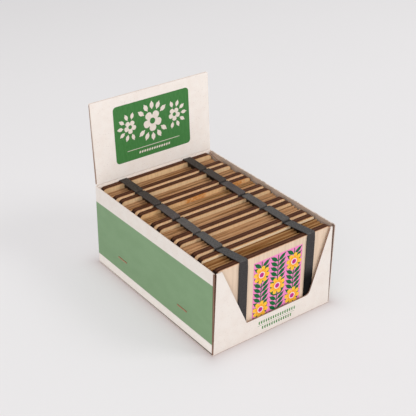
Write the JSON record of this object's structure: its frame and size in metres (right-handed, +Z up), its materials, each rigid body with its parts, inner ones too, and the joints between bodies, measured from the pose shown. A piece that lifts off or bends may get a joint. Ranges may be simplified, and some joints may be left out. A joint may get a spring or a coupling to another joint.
{
  "type": "flower press",
  "caption": "Strapped plywood pocket flower presses with corrugated cards and blotting sheets, standing in an open counter carton with a folded header.",
  "frame": {"origin": "centre of the carton's flat underside, on the table", "axes": "+X to the right seen from the notched front, +Y from the notched front to the header, +Z up"},
  "size_m": [0.1212, 0.1687, 0.1475],
  "materials": {
    "carton_board": "matt, flecked",
    "printed_board": "matt print",
    "kraft_board": "raw",
    "plywood": "raw, burnt edges",
    "corrugated_card": "raw",
    "blotting_paper": "raw",
    "elastic": "woven",
    "copper_wire": "coppered"
  },
  "bodies": {
    "carton": {"carton_base": "carton_board", "side_wall_left": "printed_board", "side_wall_right": "printed_board", "front_panel": "carton_board", "back_panel": "carton_board", "front_flap_left": "kraft_board", "front_flap_right": "kraft_board", "back_flap_left": "kraft_board", "back_flap_right": "kraft_board", "base_flap_left": "kraft_board", "base_flap_right": "kraft_board", "staples": "copper_wire"},
    "header": {"header_panel": "carton_board"},
    "header_backing": {"header_backing": "carton_board"},
    "press_1": {"press_1_front_board": "plywood", "press_1_cards": "corrugated_card", "press_1_blotters": "blotting_paper", "press_1_back_board": "plywood", "press_1_strap_left": "elastic", "press_1_strap_right": "elastic"},
    "press_2": {"press_2_front_board": "plywood", "press_2_cards": "corrugated_card", "press_2_blotters": "blotting_paper", "press_2_back_board": "plywood", "press_2_strap_left": "elastic", "press_2_strap_right": "elastic"},
    "press_3": {"press_3_front_board": "plywood", "press_3_cards": "corrugated_card", "press_3_blotters": "blotting_paper", "press_3_back_board": "plywood", "press_3_strap_left": "elastic", "press_3_strap_right": "elastic"},
    "press_4": {"press_4_front_board": "plywood", "press_4_cards": "corrugated_card", "press_4_blotters": "blotting_paper", "press_4_back_board": "plywood", "press_4_strap_left": "elastic", "press_4_strap_right": "elastic"},
    "press_5": {"press_5_front_board": "plywood", "press_5_cards": "corrugated_card", "press_5_blotters": "blotting_paper", "press_5_back_board": "plywood", "press_5_strap_left": "elastic", "press_5_strap_right": "elastic"},
    "press_6": {"press_6_front_board": "plywood", "press_6_cards": "corrugated_card", "press_6_blotters": "blotting_paper", "press_6_back_board": "plywood", "press_6_strap_left": "elastic", "press_6_strap_right": "elastic"}
  },
  "joints": [
    {"name": "header_fold", "type": "hinge", "parent": "carton", "child": "header", "pos_m": [0, 0.08125, 0.0762], "axis": [-1, 0, 0], "range_deg": [-94, 0]},
    {"name": "header_unfold", "type": "hinge", "parent": "header", "child": "header_backing", "pos_m": [0, 0.08638, 0.14742], "axis": [-1, 0, 0], "range_deg": [-180, 0]},
    {"name": "press_1_lift", "type": "slide", "parent": "carton", "child": "press_1", "axis": [0, 0, 1], "range_m": [0, 0.08]},
    {"name": "press_2_lift", "type": "slide", "parent": "carton", "child": "press_2", "axis": [0, 0, 1], "range_m": [0, 0.08]},
    {"name": "press_3_lift", "type": "slide", "parent": "carton", "child": "press_3", "axis": [0, 0, 1], "range_m": [0, 0.08]},
    {"name": "press_4_lift", "type": "slide", "parent": "carton", "child": "press_4", "axis": [0, 0, 1], "range_m": [0, 0.08]},
    {"name": "press_5_lift", "type": "slide", "parent": "carton", "child": "press_5", "axis": [0, 0, 1], "range_m": [0, 0.08]},
    {"name": "press_6_lift", "type": "slide", "parent": "carton", "child": "press_6", "axis": [0, 0, 1], "range_m": [0, 0.08]}
  ]
}
